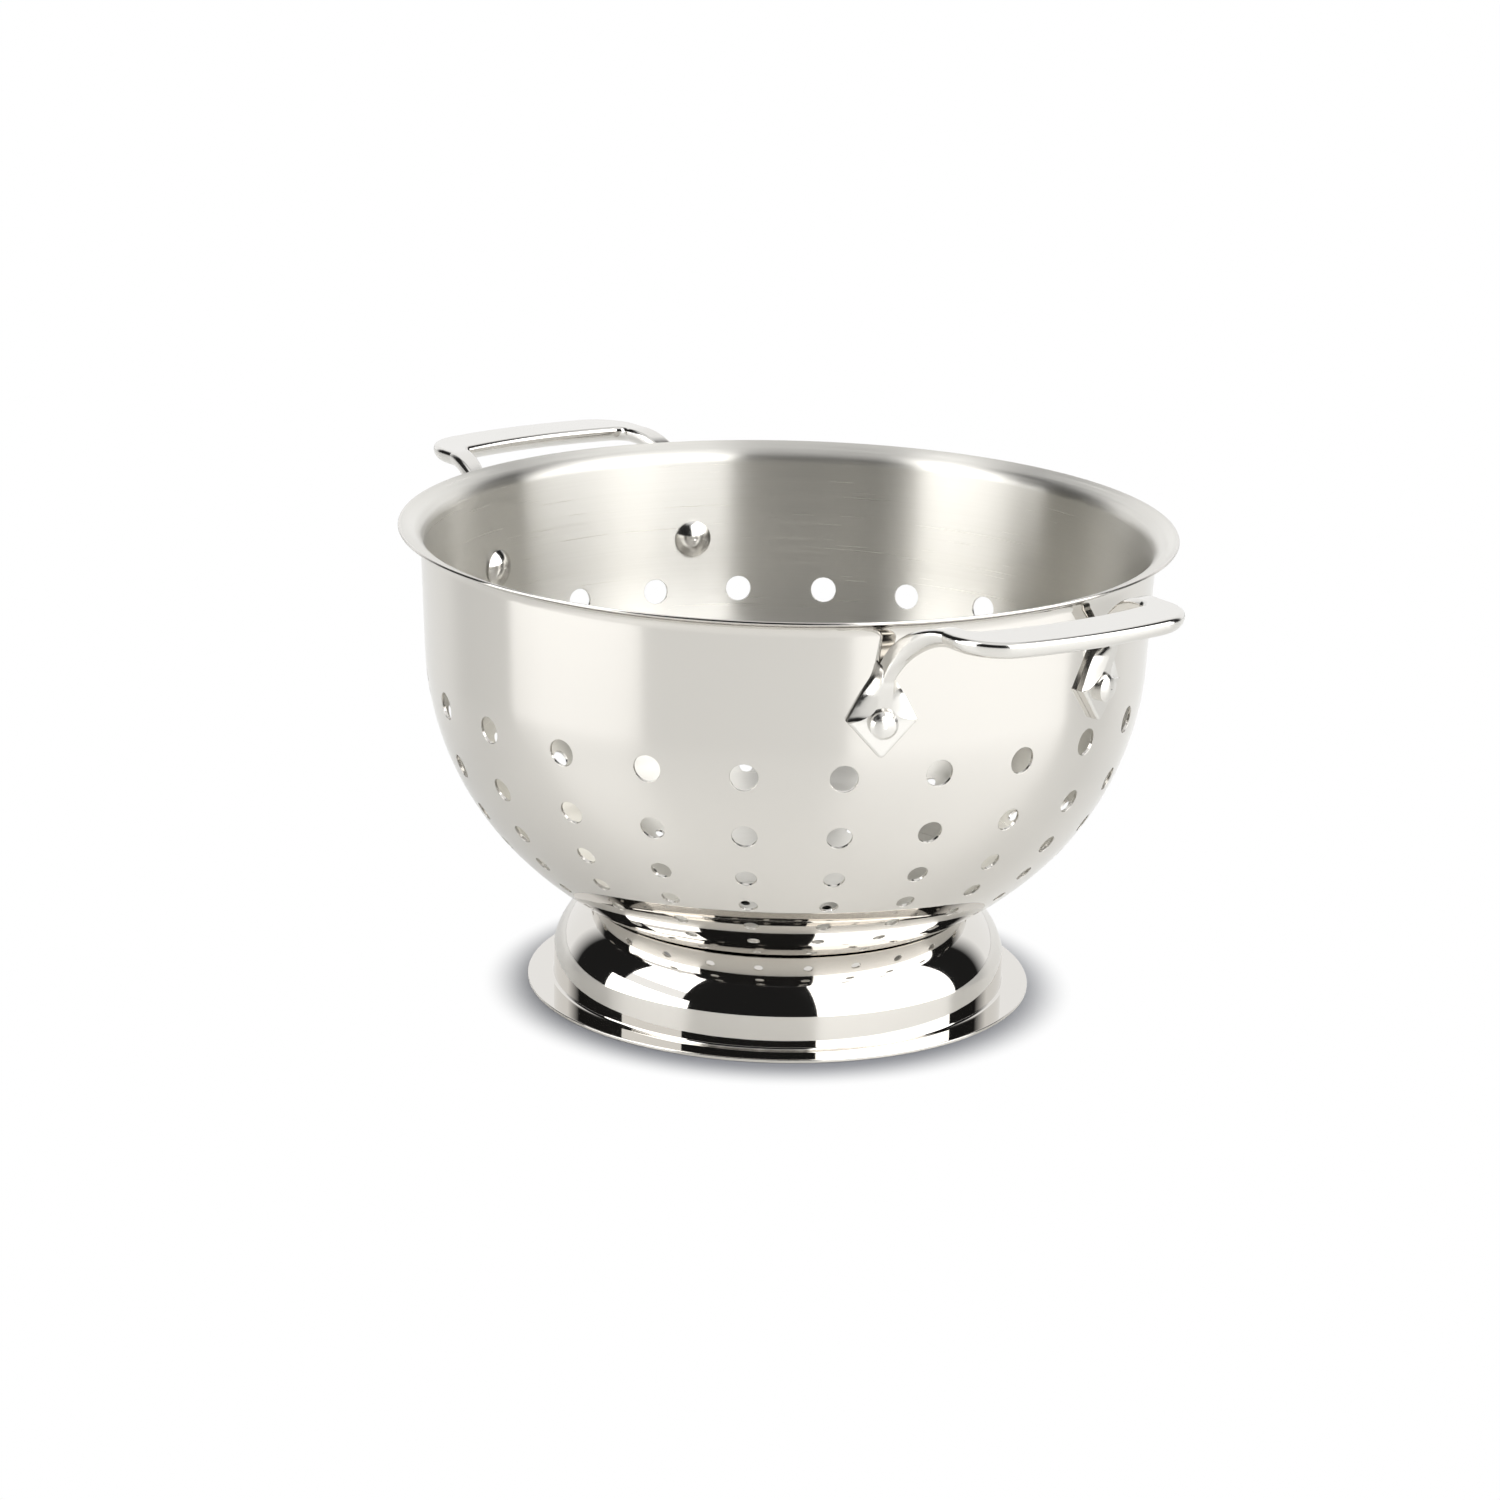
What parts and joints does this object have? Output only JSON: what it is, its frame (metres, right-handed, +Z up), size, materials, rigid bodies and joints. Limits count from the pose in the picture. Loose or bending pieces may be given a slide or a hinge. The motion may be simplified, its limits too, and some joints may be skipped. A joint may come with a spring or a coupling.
{
  "type": "footed colander",
  "caption": "Footed steel colander: deep round pressed bowl with rows of drain holes, welded ring foot and riveted flat loop handles.",
  "frame": {"origin": "centre of the foot's underside", "axes": "+Z up along the bowl's axis, the two handles along +X and -X, +Y away from the front"},
  "size_m": [0.2986, 0.2298, 0.1426],
  "materials": {
    "bowl_steel": "mirror polished outside, brushed round the inside, satin rim",
    "foot_steel": "mirror polished",
    "handle_steel": "cast, ground and polished",
    "rivet_steel": "polished"
  },
  "bodies": {
    "root": {"bowl": "bowl_steel", "foot": "foot_steel", "handle_right": "handle_steel", "handle_left": "handle_steel", "rivet_right_front": "rivet_steel", "rivet_right_back": "rivet_steel", "rivet_left_front": "rivet_steel", "rivet_left_back": "rivet_steel"}
  },
  "joints": []
}
